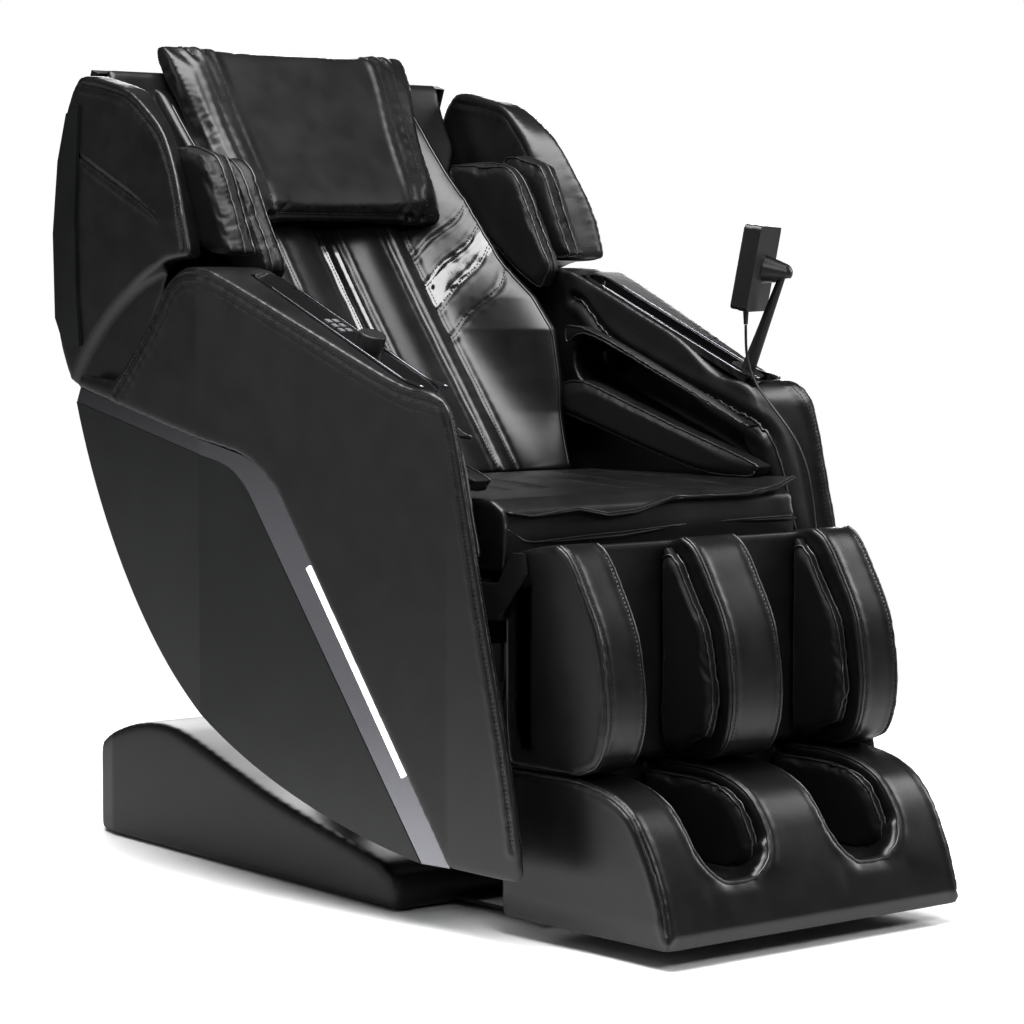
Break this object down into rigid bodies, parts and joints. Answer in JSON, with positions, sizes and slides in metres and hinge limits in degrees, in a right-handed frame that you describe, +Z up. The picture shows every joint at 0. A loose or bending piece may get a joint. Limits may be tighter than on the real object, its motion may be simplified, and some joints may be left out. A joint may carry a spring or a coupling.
{
  "type": "massage chair",
  "caption": "Full-body massage chair with a reclining back, tilting seat, padded shoulder wings, armrests with controls, a tablet on a stand, and a lifting calf and foot unit.",
  "frame": {"origin": "on the floor, in the middle of the chair's footprint", "axes": "+Z up; -Y is the way the person faces, so +Y runs from the foot unit to the back of the base; +X is the chair's left side, which carries the tablet"},
  "size_m": [0.82, 1.5, 1.282],
  "materials": {
    "black_leather": "satin, fine grain",
    "dark_pad": "matte elastic airbag cover",
    "graphite_plastic": "semi-matte moulded",
    "dark_chrome": "dark bright trim",
    "light_strip": "white diffuser",
    "gloss_black": "piano gloss",
    "matte_black": "fine matte texture",
    "key_plastic": "satin light keys",
    "frame_steel": "black powder coat",
    "bright_steel": "ground steel",
    "foot_rubber": "matte rubber",
    "screen_glass": "polished cover glass",
    "cable_pvc": "satin PVC",
    "tablet_shell": "satin grey shell"
  },
  "bodies": {
    "base": {"base_frame": "frame_steel", "base_cover": "matte_black", "base_feet": "foot_rubber", "power_inlet": "matte_black"},
    "switch": {"power_switch": "gloss_black"},
    "carriage": {"slide_carriage": "frame_steel", "lift_actuator": "frame_steel"},
    "lift_rod_body": {"lift_rod": "bright_steel"},
    "seat": {"seat_frame": "frame_steel", "seat_cushion": "black_leather", "control_box": "matte_black", "recline_actuator": "frame_steel", "legrest_actuator": "frame_steel", "side_panel_right": "graphite_plastic", "side_panel_left": "graphite_plastic", "side_trim_right": "dark_chrome", "side_trim_left": "dark_chrome", "led_strips": "light_strip", "arm_shell_right": "black_leather", "arm_shell_left": "black_leather", "arm_airbags_right": "dark_pad", "arm_airbags_left": "dark_pad", "console_right": "gloss_black", "console_left": "gloss_black", "tablet_stand": "matte_black", "remote_cable": "cable_pvc", "cable_gland": "cable_pvc"},
    "recline_rod_body": {"recline_rod": "bright_steel"},
    "legrest_rod_body": {"legrest_rod": "bright_steel"},
    "knob": {"control_knob": "gloss_black"},
    "tablet_body": {"tablet_holder": "tablet_shell", "tablet": "tablet_shell", "tablet_screen": "screen_glass", "cable_relief": "cable_pvc"},
    "back": {"back_frame": "frame_steel", "back_shell": "graphite_plastic", "back_pad": "black_leather", "wing_right": "black_leather", "wing_left": "black_leather", "wing_panel_right": "graphite_plastic", "wing_panel_left": "graphite_plastic", "shoulder_pad_right": "dark_pad", "shoulder_pad_left": "dark_pad", "massage_rails": "bright_steel"},
    "roller_slide": {"roller_carriage": "frame_steel"},
    "rollers": {"massage_rollers": "matte_black"},
    "pillow": {"head_pillow": "black_leather"},
    "calf": {"calf_shell": "black_leather", "calf_walls": "black_leather", "calf_airbags": "dark_pad"},
    "foot": {"foot_shell": "black_leather", "foot_airbags": "dark_pad", "foot_slide_rods": "bright_steel"},
    "key_1_body": {"key_1": "key_plastic"},
    "key_2_body": {"key_2": "key_plastic"},
    "key_3_body": {"key_3": "key_plastic"},
    "key_4_body": {"key_4": "key_plastic"},
    "key_5_body": {"key_5": "key_plastic"},
    "key_6_body": {"key_6": "key_plastic"}
  },
  "joints": [
    {"name": "switch_rock", "type": "hinge", "parent": "base", "child": "switch", "pos_m": [-0.048, 0.738, 0.05], "axis": [1, 0, 0], "range_deg": [-6, 6]},
    {"name": "seat_slide", "type": "slide", "parent": "base", "child": "carriage", "axis": [0, -1, 0], "range_m": [0, 0.1]},
    {"name": "lift_rod_slide", "type": "slide", "parent": "carriage", "child": "lift_rod_body", "axis": [0, 0.1045, 0.9945], "range_m": [0, 0.0295]},
    {"name": "seat_tilt", "type": "hinge", "parent": "carriage", "child": "seat", "pos_m": [0, 0.11, 0.26], "axis": [-1, 0, 0], "range_deg": [0, 12]},
    {"name": "back_recline", "type": "hinge", "parent": "seat", "child": "back", "pos_m": [0, 0.15, 0.48], "axis": [-1, 0, 0], "range_deg": [0, 40]},
    {"name": "recline_rod_slide", "type": "slide", "parent": "seat", "child": "recline_rod_body", "axis": [0, -1, 0], "range_m": [0, 0.056]},
    {"name": "legrest_lift", "type": "hinge", "parent": "seat", "child": "calf", "pos_m": [0, -0.45, 0.52], "axis": [-1, 0, 0], "range_deg": [0, 80]},
    {"name": "legrest_rod_slide", "type": "slide", "parent": "seat", "child": "legrest_rod_body", "axis": [0, -1, 0], "range_m": [0, 0.079]},
    {"name": "foot_extend", "type": "slide", "parent": "calf", "child": "foot", "axis": [0, 0, -1], "range_m": [0, 0.15]},
    {"name": "roller_travel", "type": "slide", "parent": "back", "child": "roller_slide", "axis": [0, 0.6235, 0.7818], "range_m": [-0.05, 0.28]},
    {"name": "roller_rock", "type": "hinge", "parent": "roller_slide", "child": "rollers", "pos_m": [0, 0.302, 0.71242], "axis": [1, 0, 0], "range_deg": [-14, 14]},
    {"name": "pillow_flip", "type": "hinge", "parent": "back", "child": "pillow", "pos_m": [0, 0.512, 1.262], "axis": [-1, 0, 0], "range_deg": [0, 120]},
    {"name": "knob_turn", "type": "hinge", "parent": "seat", "child": "knob", "pos_m": [-0.322, -0.16, 0.81223], "axis": [0, -0.3746, 0.9272], "range_deg": [-135, 135]},
    {"name": "tablet_swivel", "type": "hinge", "parent": "seat", "child": "tablet_body", "pos_m": [0.345, -0.31566, 0.92036], "axis": [0, 0, 1], "range_deg": [-40, 40]},
    {"name": "key_1_press", "type": "slide", "parent": "seat", "child": "key_1_body", "axis": [0, 0.3746, -0.9272], "range_m": [0, 0.0015], "stiffness_N_per_m": 250, "springref_m": -0.0012},
    {"name": "key_2_press", "type": "slide", "parent": "seat", "child": "key_2_body", "axis": [0, 0.3746, -0.9272], "range_m": [0, 0.0015], "stiffness_N_per_m": 250, "springref_m": -0.0012},
    {"name": "key_3_press", "type": "slide", "parent": "seat", "child": "key_3_body", "axis": [0, 0.3746, -0.9272], "range_m": [0, 0.0015], "stiffness_N_per_m": 250, "springref_m": -0.0012},
    {"name": "key_4_press", "type": "slide", "parent": "seat", "child": "key_4_body", "axis": [0, 0.3746, -0.9272], "range_m": [0, 0.0015], "stiffness_N_per_m": 250, "springref_m": -0.0012},
    {"name": "key_5_press", "type": "slide", "parent": "seat", "child": "key_5_body", "axis": [0, 0.3746, -0.9272], "range_m": [0, 0.0015], "stiffness_N_per_m": 250, "springref_m": -0.0012},
    {"name": "key_6_press", "type": "slide", "parent": "seat", "child": "key_6_body", "axis": [0, 0.3746, -0.9272], "range_m": [0, 0.0015], "stiffness_N_per_m": 250, "springref_m": -0.0012}
  ],
  "couplings": [
    {"joint": "seat_slide", "follows": "seat_tilt", "m_per_rad": 0.47699},
    {"joint": "lift_rod_slide", "follows": "seat_tilt", "m_per_rad": 0.13894},
    {"joint": "recline_rod_slide", "follows": "back_recline", "m_per_rad": 0.07835},
    {"joint": "legrest_rod_slide", "follows": "legrest_lift", "m_per_rad": 0.05522}
  ]
}
